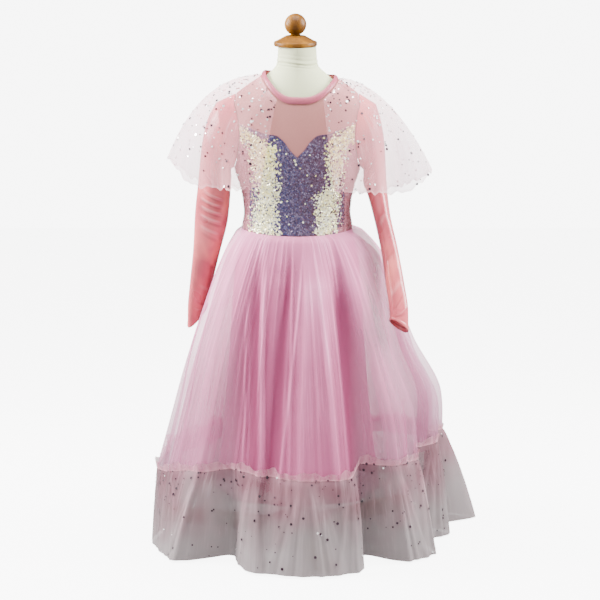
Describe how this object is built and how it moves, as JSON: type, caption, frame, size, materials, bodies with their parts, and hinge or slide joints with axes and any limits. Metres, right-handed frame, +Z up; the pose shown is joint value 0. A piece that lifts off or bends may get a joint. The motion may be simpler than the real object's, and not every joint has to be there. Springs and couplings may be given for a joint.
{
  "type": "dress-up dress on dress form",
  "caption": "Child's dress-up dress with a sequinned bodice, sheer cape, long slim sleeves and gathered tulle skirt with hem ruffle, standing on a limbless dress form.",
  "frame": {"origin": "centre of the stand hub's underside on the floor, under the form's axis", "axes": "+Z up along the form's axis, -Y towards the front of the dress, +X towards the viewer's right when facing its front"},
  "size_m": [0.5961, 0.5885, 0.9481],
  "materials": {
    "form_jersey": "ivory stretch jersey over a padded form, matte",
    "golden_wood": "golden brown wood, varnished",
    "pale_wood": "pale beige wood, matte",
    "sequin_cloth": "sequinned cloth, purple centre between cream flanks, pink sides",
    "yoke_mesh": "sheer dusty pink mesh",
    "pink_jersey": "shiny pink stretch jersey",
    "pink_binding": "shiny pink satin binding",
    "cape_tulle": "near-white tulle with small foil dots",
    "skirt_tulle": "soft pink tulle",
    "lining_satin": "deep pink satin",
    "ruffle_tulle": "grey-pink tulle with small foil dots"
  },
  "bodies": {
    "root": {"form_torso": "form_jersey", "stand_hub": "pale_wood", "stand_bar_1": "pale_wood", "stand_bar_2": "pale_wood", "stand_bar_3": "pale_wood", "stand_pole": "golden_wood", "neck_cap": "golden_wood", "neck_knob": "golden_wood", "bodice_front": "sequin_cloth", "chest_yoke": "yoke_mesh", "bodice_back_right": "pink_jersey", "bodice_back_left": "pink_jersey", "back_placket": "pink_jersey", "neck_binding": "pink_binding", "sleeve_left": "pink_jersey", "sleeve_right": "pink_jersey", "cape": "cape_tulle", "skirt_overlay": "skirt_tulle", "hem_ruffle": "ruffle_tulle", "skirt_underlayer": "skirt_tulle", "skirt_lining": "lining_satin"}
  },
  "joints": []
}
